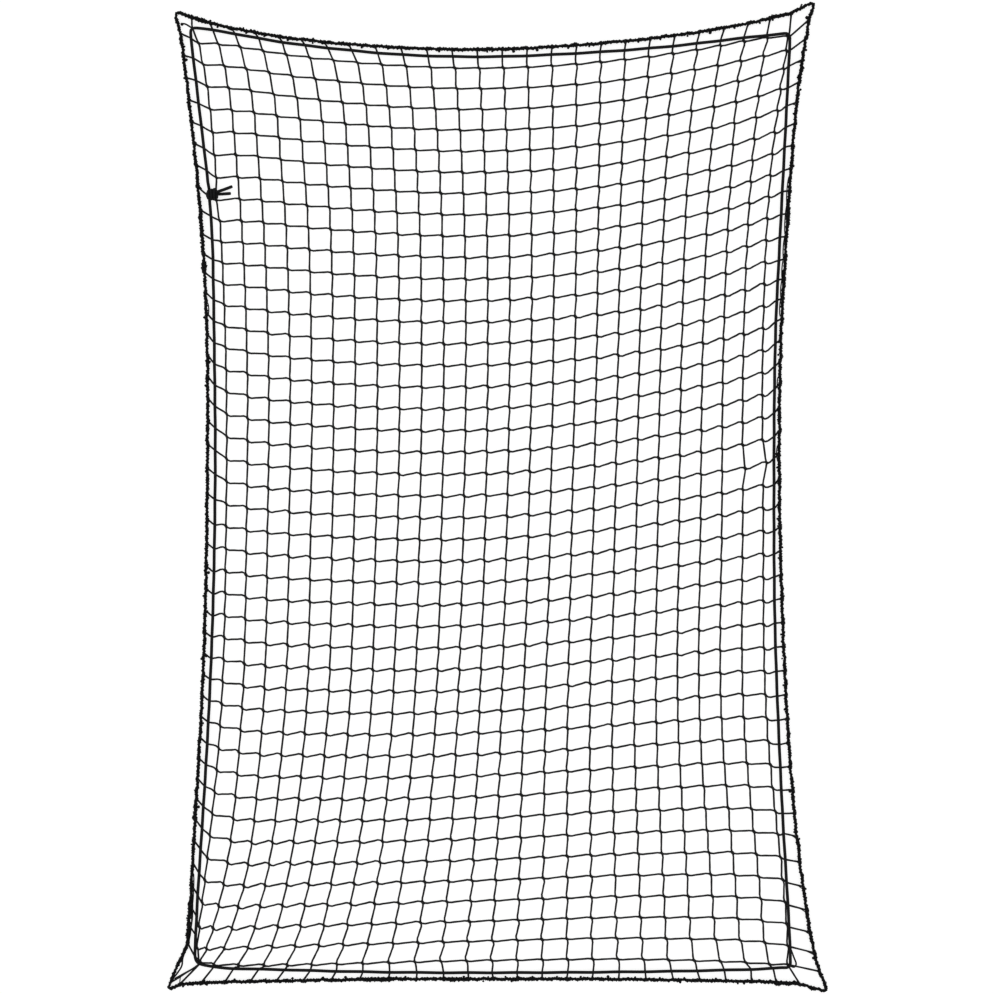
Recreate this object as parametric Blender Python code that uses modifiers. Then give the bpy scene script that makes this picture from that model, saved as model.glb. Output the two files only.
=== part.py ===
"""Cargo net laid out flat.

A panel of square-mesh netting is bound to a thicker edge rope, which is drawn out to four pointed
corners. An elastic draw cord runs through the outermost row of meshes and is knotted on the left side.

The net lies on the plane z = 0 with its length along Y. Sizes are in metres, and the tables that
trace the lie of the net are in millimetres from the middle of the net.
"""

import math
from collections import namedtuple

import bmesh
import bpy
from mathutils import Vector

# ---------------------------------------------------------------- driving dimensions
MM = 0.001

LENGTHWISE_STRANDS = 26     # numbered 0 to 25 from the left
CROSSWISE_STRANDS = 43      # numbered 0 to 42 from the top
TWINE = 3.0 * MM            # thickness of the netting twine
EDGE_ROPE = 6.4 * MM        # mean thickness of the edge rope
ELASTIC = 5.0 * MM          # thickness of the elastic draw cord
CLEARANCE = 0.3 * MM        # gap between pieces that touch
WELD = 0.01 * MM            # points nearer than this are one point
JOINT_STEP = 0.25           # share of a mesh used to find a strand's direction at a joint
BEND_INSET = 0.4            # shares of a mesh between the outermost strands and the margin's bends

# The solid net carries about every second strand of the real mesh, in both directions.
LENGTHWISE_KEPT = tuple(range(1, 24, 2)) + (24,)
CROSSWISE_KEPT = tuple(range(1, 43, 2))

# ---------------------------------------------------------------- the lie of the net
# Points that steer the crossings, in millimetres: a row for each of nine crosswise strands and a
# column for each of seven lengthwise strands.
MeshRow = namedtuple("MeshRow", "strand at_0 at_1 at_4 at_12 at_20 at_24 at_25")
MESH_COLUMNS = (0, 1, 4, 12, 20, 24, 25)
MESH_ROWS = (
    MeshRow(0, (-616, 936), (-575, 934), (-435, 912), (-38, 884), (361, 914), (555, 947), (601, 953)),
    MeshRow(1, (-606, 892), (-563, 889), (-423, 868), (-35, 842), (358, 873), (548, 909), (595, 920)),
    MeshRow(6, (-579, 659), (-535, 660), (-396, 646), (-24, 626), (346, 658), (525, 694), (566, 707)),
    MeshRow(14, (-560, 309), (-516, 300), (-383, 284), (-20, 273), (336, 305), (507, 336), (547, 348)),
    MeshRow(22, (-559, -59), (-517, -67), (-385, -78), (-26, -85), (330, -54), (505, -30), (547, -22)),
    MeshRow(31, (-571, -470), (-529, -479), (-397, -486), (-39, -485), (327, -463), (507, -453), (554, -454)),
    MeshRow(39, (-608, -834), (-574, -841), (-443, -840), (-55, -831), (343, -821), (542, -826), (592, -833)),
    MeshRow(41, (-619, -928), (-599, -929), (-464, -925), (-61, -914), (347, -908), (550, -916), (600, -923)),
    MeshRow(42, (-619, -961), (-615, -962), (-481, -963), (-64, -954), (352, -952), (560, -961), (605, -966)),
)

# Where the strands meet the edge rope and cross the elastic: one row for each strand that steers a
# side of the net, with the place on the rope's centre line and on the cord's, in millimetres.
EdgeRow = namedtuple("EdgeRow", "strand rope cord")
TOP_EDGE = (
    EdgeRow(0, (-630, 988), (-628, 968)),
    EdgeRow(1, (-592, 977), (-586, 962)),
    EdgeRow(4, (-450, 949), (-443, 937)),
    EdgeRow(7, (-306, 933), (-300, 920)),
    EdgeRow(8, (-252, 929), (-247, 915)),
    EdgeRow(12, (-42, 922), (-41, 907)),
    EdgeRow(16, (163, 931), (161, 914)),
    EdgeRow(20, (365, 951), (361, 929)),
    EdgeRow(23, (516, 976), (507, 946)),
    EdgeRow(25, (605, 997), (601, 956)),
)
RIGHT_EDGE = (
    EdgeRow(0, (641, 983), (602, 949)),
    EdgeRow(1, (635, 945), (601, 922)),
    EdgeRow(3, (621, 855), (597, 843)),
    EdgeRow(5, (612, 770), (593, 762)),
    EdgeRow(8, (601, 631), (586, 627)),
    EdgeRow(11, (592, 491), (579, 488)),
    EdgeRow(14, (585, 368), (573, 362)),
    EdgeRow(17, (581, 234), (570, 223)),
    EdgeRow(21, (580, 37), (569, 26)),
    EdgeRow(27, (587, -257), (571, -259)),
    EdgeRow(33, (603, -554), (582, -556)),
    EdgeRow(36, (616, -698), (589, -694)),
    EdgeRow(38, (629, -801), (595, -792)),
    EdgeRow(41, (652, -937), (602, -925)),
    EdgeRow(42, (662, -975), (603, -962)),
)
BOTTOM_EDGE = (
    EdgeRow(1, (-654, -1002), (-613, -960)),
    EdgeRow(2, (-610, -999), (-584, -966)),
    EdgeRow(5, (-455, -995), (-438, -972)),
    EdgeRow(7, (-342, -993), (-332, -975)),
    EdgeRow(9, (-224, -991), (-222, -977)),
    EdgeRow(11, (-111, -991), (-111, -978)),
    EdgeRow(13, (-9, -991), (-11, -978)),
    EdgeRow(17, (195, -991), (197, -977)),
    EdgeRow(21, (417, -994), (411, -974)),
    EdgeRow(24, (574, -998), (567, -969)),
    EdgeRow(25, (622, -1001), (600, -966)),
)
LEFT_EDGE = (
    EdgeRow(0, (-652, 955), (-631, 945)),
    EdgeRow(3, (-635, 818), (-615, 810)),
    EdgeRow(8, (-612, 592), (-590, 579)),
    EdgeRow(9, (-608, 542), (-587, 531)),
    EdgeRow(11, (-603, 463), (-585, 450)),
    EdgeRow(14, (-598, 336), (-583, 319)),
    EdgeRow(20, (-597, 60), (-581, 48)),
    EdgeRow(22, (-598, -45), (-582, -56)),
    EdgeRow(30, (-608, -408), (-593, -418)),
    EdgeRow(33, (-615, -537), (-600, -550)),
    EdgeRow(37, (-625, -705), (-611, -725)),
    EdgeRow(39, (-630, -797), (-617, -819)),
    EdgeRow(42, (-638, -917), (-623, -943)),
)

# The points of the four corners, in millimetres: where the edge rope turns back on itself, and the
# crook that the elastic turns round.
Corner = namedtuple("Corner", "rope cord")
TOP_LEFT = Corner((-666, 1003), (-632, 967))
TOP_RIGHT = Corner((655, 1022), (602, 956))
BOTTOM_RIGHT = Corner((681, -1019), (603, -968))
BOTTOM_LEFT = Corner((-681, -1015), (-620, -958))
ROPE_TURN = 16.0 * MM       # how far from a corner the rope starts to turn
CORD_TURN = 10.0 * MM       # the same for the elastic
TURN_POINTS = 5             # points along each turn
TURN_SPARE = 1.4            # shares of a turn's reach that are kept free of other points

# ---------------------------------------------------------------- the cords
CORD_SIDES = 8              # a rope's or a cord's section, flat side down
FACET_TURN = math.pi / CORD_SIDES
CORNER_ROPE = 0.8           # share of its thickness that the rope keeps at a corner
LUMP_SHARE = 0.16           # how much the bound rope swells and thins along its length
LUMP_WAVES = (1.9, 0.73)    # its two rates of change, in radians for each strand tied in
CROSSING_RISE = 0.5 * MM    # extra height of the elastic over a strand, for its own bend
CORNER_STRANDS = 3          # strands at each end of a side that the elastic stays on top of

# ---------------------------------------------------------------- the knot
KNOT_STRAND = 7             # the crosswise strand that the knot lies on
KNOT_CENTRE = Vector((-586 * MM, 623 * MM, 11.9 * MM))
KNOT_ENTRY = 15.0 * MM      # distance from the middle of the knot to the ends of the loop
TURN_CORD = 6.0 * MM        # thickness of a turn of the knot, where the cord lies double
TURN_SEGMENTS = 16          # segments round each turn
Turn = namedtuple("Turn", "radius shift tilt heading")      # millimetres and degrees
KNOT_TURNS = (
    Turn(7.6, (0.0, 0.0, 0.5), 14, 40),
    Turn(5.6, (-1.6, 0.6, 0.0), 64, 20),
    Turn(5.6, (1.8, -0.4, 0.0), 66, 118),
)
KNOT_CORE = 5.4 * MM        # radius of the part of the knot that its turns close round
Tail = namedtuple("Tail", "start end")                      # millimetres from the knot's middle
KNOT_TAILS = (
    Tail((2.0, 3.0, 0.6), (41.0, 16.0, -9.0)),
    Tail((2.0, -1.6, -0.6), (39.0, 1.6, -9.0)),
)


# ---------------------------------------------------------------- curves through the tables
def metres(pair):
    """Turn a place in millimetres into a point in metres."""
    return Vector(pair) * MM


def smooth(knots, points, at):
    """Find the point at a place along a smooth curve through points that stand at rising knots."""
    last = len(knots) - 1
    i = next((k for k in range(last) if at <= knots[k + 1]), last - 1)
    runs = [knots[k + 1] - knots[k] for k in range(last)]
    slopes = [(points[k + 1] - points[k]) / runs[k] for k in range(last)]

    def tangent(k):
        if k in (0, last):
            return slopes[min(k, last - 1)]
        return (slopes[k - 1] * runs[k] + slopes[k] * runs[k - 1]) / (runs[k - 1] + runs[k])

    t = (at - knots[i]) / runs[i]
    start, end = points[i], points[i + 1]
    leave, arrive = tangent(i) * runs[i], tangent(i + 1) * runs[i]
    return (
        start * (2 * t**3 - 3 * t**2 + 1)
        + leave * (t**3 - 2 * t**2 + t)
        + end * (3 * t**2 - 2 * t**3)
        + arrive * (t**3 - t**2)
    )


def mesh_joint(lengthwise, crosswise):
    """Find where two strands cross. A number between two strands gives a place between them."""
    crossings = [smooth(MESH_COLUMNS, [metres(p) for p in row[1:]], lengthwise) for row in MESH_ROWS]
    return smooth([row.strand for row in MESH_ROWS], crossings, crosswise)


def edge_point(edge, line, strand):
    """Find where a strand meets the rope or the cord of one side of the net."""
    return smooth([row.strand for row in edge], [metres(getattr(row, line)) for row in edge], strand)


def edge_numbers(edge):
    """List the strands that meet one side of the net, in the order of its table."""
    return range(edge[0].strand, edge[-1].strand + 1)


def turn_points(before, corner, after, reach):
    """Round a corner off between the points before and after it, from a given reach."""
    start = corner + (before - corner).normalized() * reach
    end = corner + (after - corner).normalized() * reach
    steps = [k / (TURN_POINTS - 1) for k in range(TURN_POINTS)]
    return [start * (1 - t) ** 2 + corner * 2 * t * (1 - t) + end * t**2 for t in steps]


# ---------------------------------------------------------------- the edge rope
def rope_share(strand):
    """Share of its mean thickness that the lumpy rope has where a strand is tied in."""
    quick, slow = LUMP_WAVES
    return 1 + LUMP_SHARE * (math.sin(quick * strand + 1) + math.sin(slow * strand)) / 2


def rope_side(edge, backwards=False):
    """List the rope's points along one side of the net, with their share of its thickness."""
    numbers = edge_numbers(edge)
    side = [(edge_point(edge, "rope", n), rope_share(n)) for n in numbers]
    return side[::-1] if backwards else side


def rope_loop():
    """List the rope's points all round the net, clockwise from the top left corner."""
    sides = (
        rope_side(TOP_EDGE),
        rope_side(RIGHT_EDGE),
        rope_side(BOTTOM_EDGE, True),
        rope_side(LEFT_EDGE, True),
    )
    corners = (TOP_LEFT, TOP_RIGHT, BOTTOM_RIGHT, BOTTOM_LEFT)
    loop = []
    for k, (corner, side) in enumerate(zip(corners, sides)):
        before = sides[k - 1][-1][0]
        turn = turn_points(before, metres(corner.rope), side[0][0], ROPE_TURN)
        loop += [(point, CORNER_ROPE) for point in turn] + side
    return loop


# ---------------------------------------------------------------- the elastic
def cord_height(raised):
    """Height of the elastic's middle: over a strand that the solid net keeps, else on the floor."""
    return ELASTIC / 2 + (TWINE + CLEARANCE + CROSSING_RISE if raised else 0)


def cord_side(edge, kept_strands, backwards=False):
    """List the elastic's points along one side, one at each strand that it crosses."""
    numbers = edge_numbers(edge)
    near_corner = tuple(numbers[:CORNER_STRANDS]) + tuple(numbers[-CORNER_STRANDS:])
    side = []
    for n in numbers:
        height = cord_height(n in kept_strands or n in near_corner)
        side.append(edge_point(edge, "cord", n).to_3d() + Vector((0, 0, height)))
    return side[::-1] if backwards else side


def cord_route():
    """List the elastic's points clockwise round the net, from above the knot to below it."""
    left = cord_side(LEFT_EDGE, CROSSWISE_KEPT, True)
    below = left[: -KNOT_STRAND - 1]
    above = left[-KNOT_STRAND:]
    sides = (
        cord_side(TOP_EDGE, LENGTHWISE_KEPT),
        cord_side(RIGHT_EDGE, CROSSWISE_KEPT),
        cord_side(BOTTOM_EDGE, LENGTHWISE_KEPT, True),
        below,
    )
    route = above
    for corner, side in zip((TOP_LEFT, TOP_RIGHT, BOTTOM_RIGHT, BOTTOM_LEFT), sides):
        crook = metres(corner.cord).to_3d() + Vector((0, 0, cord_height(True)))
        route = [p for p in route if (p - crook).length > CORD_TURN * TURN_SPARE]
        side = [p for p in side if (p - crook).length > CORD_TURN * TURN_SPARE]
        route = route + turn_points(route[-1], crook, side[0], CORD_TURN) + side
    return [knot_entry(route[0])] + route + [knot_entry(route[-1])]


def knot_entry(place, gap=0.0):
    """Find where the cord that comes from a place meets the knot, less a gap."""
    return KNOT_CENTRE + (place - KNOT_CENTRE).normalized() * (KNOT_ENTRY - gap)


# ---------------------------------------------------------------- the netting
NetLine = namedtuple("NetLine", "kind strand side")


def net_lines(kept, last_strand):
    """List the grid lines across the net: two for each kept strand, and three in each margin."""
    near = [NetLine("rope", 0, 0), NetLine("cord", 0, 0), NetLine("bend", BEND_INSET, 0)]
    strands = [NetLine("strand", n, side) for n in kept for side in (-1, 1)]
    last_bend = last_strand - BEND_INSET
    far = [NetLine("bend", last_bend, 0), NetLine("cord", last_strand, 0), NetLine("rope", last_strand, 0)]
    return near + strands + far


def strand_directions(lengthwise, crosswise):
    """Find the unit directions of both strands at a joint: left to right, then top to bottom."""
    across = mesh_joint(min(lengthwise + JOINT_STEP, LENGTHWISE_STRANDS - 1), crosswise)
    across -= mesh_joint(max(lengthwise - JOINT_STEP, 0), crosswise)
    down = mesh_joint(lengthwise, min(crosswise + JOINT_STEP, CROSSWISE_STRANDS - 1))
    down -= mesh_joint(lengthwise, max(crosswise - JOINT_STEP, 0))
    return across.normalized(), down.normalized()


def rope_end(edge, strand, towards):
    """Find where a strand stops beside the rope, and the direction of the rope there."""
    step = JOINT_STEP if strand < edge[-1].strand else -JOINT_STEP
    centre = edge_point(edge, "rope", strand)
    along = (edge_point(edge, "rope", strand + step) - centre).normalized() * math.copysign(1, step)
    inwards = Vector((-along.y, along.x))
    inwards *= math.copysign(1, inwards.dot(towards - centre))
    stand_off = EDGE_ROPE / 2 * rope_share(strand) + CLEARANCE
    return centre + inwards * stand_off, along


def margin_place(edge, strand, kind, bend):
    """Find the middle of a kept strand on a margin line, and the direction of that line there."""
    rope, cord = (edge_point(edge, line, strand) for line in ("rope", "cord"))
    if kind == "rope":
        return rope_end(edge, strand, cord)
    run = (bend - (rope if kind == "cord" else cord)).normalized()
    return (cord if kind == "cord" else bend), Vector((-run.y, run.x))


def net_corner(across_line, down_line):
    """Place one corner of the net's grid."""
    half = TWINE / 2
    if across_line.kind == "strand" and down_line.kind == "strand":
        across, down = strand_directions(across_line.strand, down_line.strand)
        middle = mesh_joint(across_line.strand, down_line.strand)
        return middle + across * half * across_line.side + down * half * down_line.side
    bend = mesh_joint(across_line.strand, down_line.strand)
    if across_line.kind == "strand":
        edge = BOTTOM_EDGE if down_line.strand > 1 else TOP_EDGE
        place, along = margin_place(edge, across_line.strand, down_line.kind, bend)
        return place + along * half * math.copysign(1, along.x) * across_line.side
    edge = RIGHT_EDGE if across_line.strand > 1 else LEFT_EDGE
    place, along = margin_place(edge, down_line.strand, across_line.kind, bend)
    return place + along * half * math.copysign(1, -along.y) * down_line.side


def build_net(collection):
    """Cut the netting from a sheet: a grid whose gaps are taken out, then given its thickness."""
    across = net_lines(LENGTHWISE_KEPT, LENGTHWISE_STRANDS - 1)
    down = net_lines(CROSSWISE_KEPT, CROSSWISE_STRANDS - 1)
    sheet = bmesh.new()
    bmesh.ops.create_grid(sheet, x_segments=len(across) - 1, y_segments=len(down) - 1, size=1)

    def grid_place(x, y):
        i = round((x + 1) / 2 * (len(across) - 1))
        j = round((1 - y) / 2 * (len(down) - 1))
        return across[i], down[j]

    def on_strand(face):
        places = [grid_place(v.co.x, v.co.y) for v in face.verts]
        whole_columns = {a for a, _ in places}
        whole_rows = {d for _, d in places}
        return any(
            all(line.kind == "strand" for line in lines) and len({line.strand for line in lines}) == 1
            for lines in (whole_columns, whole_rows)
        )

    gaps = [face for face in sheet.faces if not on_strand(face)]
    bmesh.ops.delete(sheet, geom=gaps, context="FACES")
    for vertex in sheet.verts:
        vertex.co = net_corner(*grid_place(vertex.co.x, vertex.co.y)).to_3d()
    mesh = bpy.data.meshes.new("net")
    sheet.to_mesh(mesh)
    sheet.free()
    net = add_object("net", mesh, collection)
    thick = net.modifiers.new("twine", "SOLIDIFY")
    thick.thickness = TWINE
    thick.offset = 1
    return net


# ---------------------------------------------------------------- objects
def add_object(name, data, collection):
    """Put new data in the net's collection under a name."""
    obj = bpy.data.objects.new(name, data)
    collection.objects.link(obj)
    return obj


def paint(obj, colour, roughness):
    """Give a piece its own material."""
    material = bpy.data.materials.new(obj.name)
    material.use_nodes = True
    shader = material.node_tree.nodes["Principled BSDF"]
    shader.inputs["Base Color"].default_value = (*colour, 1)
    shader.inputs["Roughness"].default_value = roughness
    shader.inputs["Metallic"].default_value = 0
    obj.data.materials.append(material)


def cord_curve(name, thickness, points, collection, closed=False):
    """Make a round cord through points given with their share of its thickness."""
    curve = bpy.data.curves.new(name, "CURVE")
    curve.dimensions = "3D"
    curve.twist_mode = "Z_UP"
    curve.bevel_depth = thickness / 2 / math.cos(FACET_TURN)
    curve.bevel_resolution = (CORD_SIDES - 4) // 2
    curve.use_fill_caps = not closed
    spline = curve.splines.new("POLY")
    spline.use_cyclic_u = closed
    spline.points.add(len(points) - 1)
    for target, (place, share) in zip(spline.points, points):
        target.co = (*place, 1)
        target.radius = share
        target.tilt = FACET_TURN
    return add_object(name, curve, collection)


def build_edge_rope(collection):
    """Make the edge rope, one closed loop that lies on the floor all round."""
    points = [(place.to_3d() + Vector((0, 0, EDGE_ROPE / 2 * share)), share) for place, share in rope_loop()]
    return cord_curve("edge_rope", EDGE_ROPE, points, collection, closed=True)


def build_elastic(collection):
    """Make the elastic's long run, which starts and stops beside its knot."""
    return cord_curve("elastic", ELASTIC, [(place, 1) for place in cord_route()], collection)


# ---------------------------------------------------------------- the knot's object
def knot_turn(turn):
    """Make one turn of the knot, a leaning ring."""
    bpy.ops.mesh.primitive_torus_add(
        location=KNOT_CENTRE + metres(turn.shift),
        rotation=(math.radians(turn.tilt), 0, math.radians(turn.heading)),
        major_segments=TURN_SEGMENTS,
        minor_segments=CORD_SIDES,
        major_radius=turn.radius * MM,
        minor_radius=TURN_CORD / 2,
    )
    return bpy.context.object


def knot_core():
    """Make the middle that the turns close round."""
    bpy.ops.mesh.primitive_uv_sphere_add(
        location=KNOT_CENTRE, radius=KNOT_CORE, segments=TURN_SEGMENTS, ring_count=CORD_SIDES
    )
    return bpy.context.object


def knot_cord(name, start, end, collection):
    """Make a straight piece of the cord that runs out of the knot, as a closed mesh."""
    curve = cord_curve(name, ELASTIC, [(start, 1), (end, 1)], collection)
    evaluated = curve.evaluated_get(bpy.context.evaluated_depsgraph_get())
    mesh = bpy.data.meshes.new_from_object(evaluated)
    bpy.data.objects.remove(curve, do_unlink=True)
    welded = bmesh.new()
    welded.from_mesh(mesh)
    bmesh.ops.remove_doubles(welded, verts=welded.verts, dist=WELD)
    bmesh.ops.recalc_face_normals(welded, faces=welded.faces)
    welded.to_mesh(mesh)
    welded.free()
    return add_object(name, mesh, collection)


def build_knot(collection, tools, route):
    """Join the turns, the core, both tails and both ends of the loop into one knot."""
    turns = [knot_turn(turn) for turn in KNOT_TURNS]
    tails = [(KNOT_CENTRE + metres(tail.start), KNOT_CENTRE + metres(tail.end)) for tail in KNOT_TAILS]
    entries = [(KNOT_CENTRE, knot_entry(place, CLEARANCE)) for place in (route[1], route[-2])]
    cords = [knot_cord("knot_cord", start, end, tools) for start, end in tails + entries]
    knot, *joined = [knot_core()] + turns + cords
    knot.name = knot.data.name = "elastic_knot"
    for piece in [knot] + joined:
        for home in piece.users_collection:
            home.objects.unlink(piece)
        (collection if piece is knot else tools).objects.link(piece)
    for piece in joined:
        piece.hide_render = True
        piece.display_type = "WIRE"
        union = knot.modifiers.new(piece.name, "BOOLEAN")
        union.operation = "UNION"
        union.object = piece
    return knot


# ---------------------------------------------------------------- the collection
def clear_scene():
    """Remove the objects that a new file starts with."""
    for obj in list(bpy.data.objects):
        bpy.data.objects.remove(obj, do_unlink=True)


def new_collection(name):
    """Add a collection to the scene."""
    collection = bpy.data.collections.new(name)
    bpy.context.scene.collection.children.link(collection)
    return collection


def build():
    """Build the whole net."""
    clear_scene()
    collection = new_collection("cargo_net")
    tools = new_collection("cutters")
    paint(build_net(collection), (0.014, 0.014, 0.015), 0.8)
    paint(build_edge_rope(collection), (0.010, 0.010, 0.011), 0.85)
    paint(build_elastic(collection), (0.012, 0.012, 0.013), 0.6)
    paint(build_knot(collection, tools, cord_route()), (0.012, 0.012, 0.013), 0.6)


build()
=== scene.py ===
"""Cargo net spread flat: the visible twine, joints, edge rope and elastic draw cord.

The frame holds the plain solids. This script dresses them: every strand of the square mesh in its own
lie, a twisted joint at each crossing, the bound edge rope with its hitches, nubs and strays, and the
elastic that is woven through the outermost meshes and knotted on the left. All sizes are in metres
unless a name says otherwise, and the tables that trace the lie are in millimetres.
"""

import logging
from dataclasses import dataclass, field
from enum import Enum
from math import copysign, cos, exp, pi, radians, sin, sqrt
from typing import Sequence

import bpy
import numpy as np
from bpy.types import Material, Node, NodeSocket, NodeTree, Object
from mathutils import Matrix, Vector


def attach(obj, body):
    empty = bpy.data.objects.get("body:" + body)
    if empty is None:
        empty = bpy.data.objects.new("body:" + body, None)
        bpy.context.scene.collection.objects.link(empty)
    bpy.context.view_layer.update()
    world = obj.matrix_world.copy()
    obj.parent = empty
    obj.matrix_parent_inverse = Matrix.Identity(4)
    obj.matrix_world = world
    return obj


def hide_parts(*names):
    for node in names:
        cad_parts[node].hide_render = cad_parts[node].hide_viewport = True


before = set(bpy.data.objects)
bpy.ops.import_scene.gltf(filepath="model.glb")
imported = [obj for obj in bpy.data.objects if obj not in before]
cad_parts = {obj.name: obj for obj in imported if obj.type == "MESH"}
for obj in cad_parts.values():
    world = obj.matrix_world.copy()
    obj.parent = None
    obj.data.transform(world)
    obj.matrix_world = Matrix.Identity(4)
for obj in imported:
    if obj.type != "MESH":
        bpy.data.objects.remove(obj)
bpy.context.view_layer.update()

LOG = logging.getLogger("cargo_net")
MM = 0.001
UP = Vector((0.0, 0.0, 1.0))

Plan = tuple[float, float]
Pair = tuple[Plan, Plan]
Line = list[Vector]
Chance = np.random.Generator


class Side(Enum):
    """The four sides of the net, in the order in which the rope runs round it."""

    TOP = 0
    RIGHT = 1
    BOTTOM = 2
    LEFT = 3


class Cord(Enum):
    """The two cords that run round the net, by their place in the tables."""

    ROPE = 0
    ELASTIC = 1


class Way(Enum):
    """The two ways in which the strands run, by their place in the table of waves."""

    CROSSWISE = 0
    LENGTHWISE = 1


class Uneven(Enum):
    """What is uneven along the rope: its run's number, and its slowest and quickest waves round the rope."""

    LUMPS = (0, 40, 420)
    GRAIN = (1, 500, 1000)
    WOBBLE = (2, 40, 300)
    WANDER = (3, 60, 260)


class Plait(Enum):
    """How the yarns of a cord lie, by their share of braiding."""

    TWISTED = 0.0
    BRAIDED = 1.0


# ---------------- the lie of the net, in millimetres
# Where crosswise strands cross seven of the lengthwise strands, by the crosswise strand.
MESH_COLUMNS = (0, 1, 4, 12, 20, 24, 25)
MESH_ROWS: dict[int, tuple[Plan, ...]] = {
    0: ((-616, 936), (-575, 934), (-435, 912), (-38, 884), (361, 914), (555, 947), (601, 953)),
    1: ((-606, 892), (-563, 889), (-423, 868), (-35, 842), (358, 873), (548, 909), (595, 920)),
    6: ((-579, 659), (-535, 660), (-396, 646), (-24, 626), (346, 658), (525, 694), (566, 707)),
    14: ((-560, 309), (-516, 300), (-383, 284), (-20, 273), (336, 305), (507, 336), (547, 348)),
    22: ((-559, -59), (-517, -67), (-385, -78), (-26, -85), (330, -54), (505, -30), (547, -22)),
    31: ((-571, -470), (-529, -479), (-397, -486), (-39, -485), (327, -463), (507, -453), (554, -454)),
    39: ((-608, -834), (-574, -841), (-443, -840), (-55, -831), (343, -821), (542, -826), (592, -833)),
    41: ((-619, -928), (-599, -929), (-464, -925), (-61, -914), (347, -908), (550, -916), (600, -923)),
    42: ((-619, -961), (-615, -962), (-481, -963), (-64, -954), (352, -952), (560, -961), (605, -966)),
}

# Where strands meet the edge rope and cross the elastic, by side and strand.
EDGES: dict[Side, dict[int, Pair]] = {
    Side.TOP: {
        0: ((-630, 988), (-628, 968)), 1: ((-592, 977), (-586, 962)), 4: ((-450, 949), (-443, 937)),
        7: ((-306, 933), (-300, 920)), 8: ((-252, 929), (-247, 915)), 12: ((-42, 922), (-41, 907)),
        16: ((163, 931), (161, 914)), 20: ((365, 951), (361, 929)), 23: ((516, 976), (507, 946)),
        25: ((605, 997), (601, 956)),
    },
    Side.RIGHT: {
        0: ((641, 983), (602, 949)), 1: ((635, 945), (601, 922)), 3: ((621, 855), (597, 843)),
        5: ((612, 770), (593, 762)), 8: ((601, 631), (586, 627)), 11: ((592, 491), (579, 488)),
        14: ((585, 368), (573, 362)), 17: ((581, 234), (570, 223)), 21: ((580, 37), (569, 26)),
        27: ((587, -257), (571, -259)), 33: ((603, -554), (582, -556)), 36: ((616, -698), (589, -694)),
        38: ((629, -801), (595, -792)), 41: ((652, -937), (602, -925)), 42: ((662, -975), (603, -962)),
    },
    Side.BOTTOM: {
        1: ((-654, -1002), (-613, -960)), 2: ((-610, -999), (-584, -966)), 5: ((-455, -995), (-438, -972)),
        7: ((-342, -993), (-332, -975)), 9: ((-224, -991), (-222, -977)), 11: ((-111, -991), (-111, -978)),
        13: ((-9, -991), (-11, -978)), 17: ((195, -991), (197, -977)), 21: ((417, -994), (411, -974)),
        24: ((574, -998), (567, -969)), 25: ((622, -1001), (600, -966)),
    },
    Side.LEFT: {
        0: ((-652, 955), (-631, 945)), 3: ((-635, 818), (-615, 810)), 8: ((-612, 592), (-590, 579)),
        9: ((-608, 542), (-587, 531)), 11: ((-603, 463), (-585, 450)), 14: ((-598, 336), (-583, 319)),
        20: ((-597, 60), (-581, 48)), 22: ((-598, -45), (-582, -56)), 30: ((-608, -408), (-593, -418)),
        33: ((-615, -537), (-600, -550)), 37: ((-625, -705), (-611, -725)),
        39: ((-630, -797), (-617, -819)), 42: ((-638, -917), (-623, -943)),
    },
}

# The first lengthwise strand runs out through the bottom left corner, beside the second.
CORNER_END: Pair = ((-664, -991), (-623, -967))

# Where the rope turns back on itself, and the crook that the elastic turns round.
CORNERS: tuple[Pair, ...] = (
    ((-666, 1003), (-632, 967)), ((655, 1022), (602, 956)), ((681, -1019), (603, -968)),
    ((-681, -1015), (-620, -958)),
)

# Joints that are pulled out of line, the first one by the knot: by lengthwise and crosswise strand.
PULLED = {(0, 7): (-580, 613), (24, 20): (510, 60), (25, 20): (554, 72)}

# Where the binding is piled up round the rope: the strand, its reach in half meshes and how much
# thicker the rope is there.
SWELLS: dict[Side, tuple[tuple[float, float, float], ...]] = {
    Side.TOP: ((0.2, 1.0, 0.22), (0.65, 0.3, 0.35), (12.3, 1.4, 0.16), (24.4, 0.8, 0.2)),
    Side.RIGHT: ((2.5, 0.9, 0.22), (9.0, 1.3, 0.28), (12.1, 1.0, 0.2), (39.6, 1.2, 0.18)),
    Side.BOTTOM: ((2.1, 0.8, 0.18), (8.6, 1.6, 0.4), (11.6, 1.2, 0.32), (14.2, 0.9, 0.2), (24.3, 1.0, 0.4)),
    Side.LEFT: ((8.6, 1.6, 0.26), (10.7, 0.45, 0.7), (35.6, 0.8, 0.28), (40.6, 1.2, 0.3)),
}

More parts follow.
